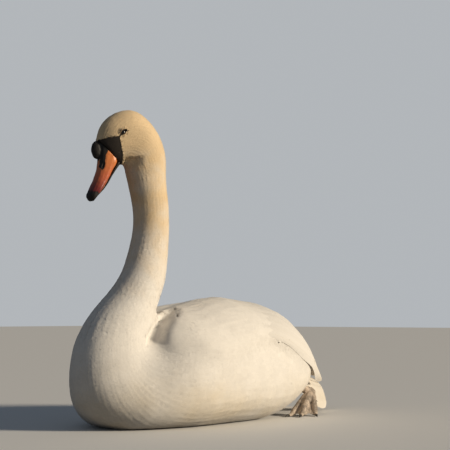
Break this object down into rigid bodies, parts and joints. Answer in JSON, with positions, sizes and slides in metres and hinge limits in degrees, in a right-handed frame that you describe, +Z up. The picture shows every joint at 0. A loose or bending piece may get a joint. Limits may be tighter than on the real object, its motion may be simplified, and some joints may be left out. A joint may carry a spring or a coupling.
{
  "type": "mute swan",
  "caption": "Life-size still model of an adult mute swan resting on its belly, neck upright in a soft S, head bent down and turned, orange bill with black knob",
  "frame": {"origin": "on the floor, under the middle of the belly, on the flat where the bird rests", "axes": "+Z up, the bird faces -Y, its left side is +X"},
  "size_m": [0.2926, 0.6606, 0.5686],
  "materials": {
    "plumage": "white feathers, faintly cream, buff on the head and upper neck; fabric stands in for feather",
    "bill_orange": "satin orange horn, redder toward the tip, black along the cutting edge; plastic stands in for horn",
    "bill_black": "black skin and horn of the knob and nail; plastic stands in for it",
    "eye": "wet dark brown eye; gloss plastic stands in for it",
    "foot_skin": "scaly dark grey skin of legs, toes and webs; rubber stands in for it",
    "claw": "dark horn; plastic stands in for it"
  },
  "bodies": {
    "root": {"trunk": "plumage", "neck_lower": "plumage", "neck_middle": "plumage", "neck_upper": "plumage", "head": "plumage", "wing_left": "plumage", "wing_right": "plumage", "primaries_left": "plumage", "primaries_right": "plumage", "tail": "plumage", "bill_upper": "bill_orange", "bill_lower": "bill_orange", "bill_nail": "bill_black", "bill_knob": "bill_black", "eye_left": "eye", "eye_right": "eye", "leg_left": "foot_skin", "foot_left": "foot_skin", "claw_left_1": "claw", "claw_left_2": "claw", "claw_left_3": "claw", "claw_left_4": "claw", "leg_right": "foot_skin", "foot_right": "foot_skin", "claw_right_1": "claw", "claw_right_2": "claw", "claw_right_3": "claw", "claw_right_4": "claw"}
  },
  "joints": []
}
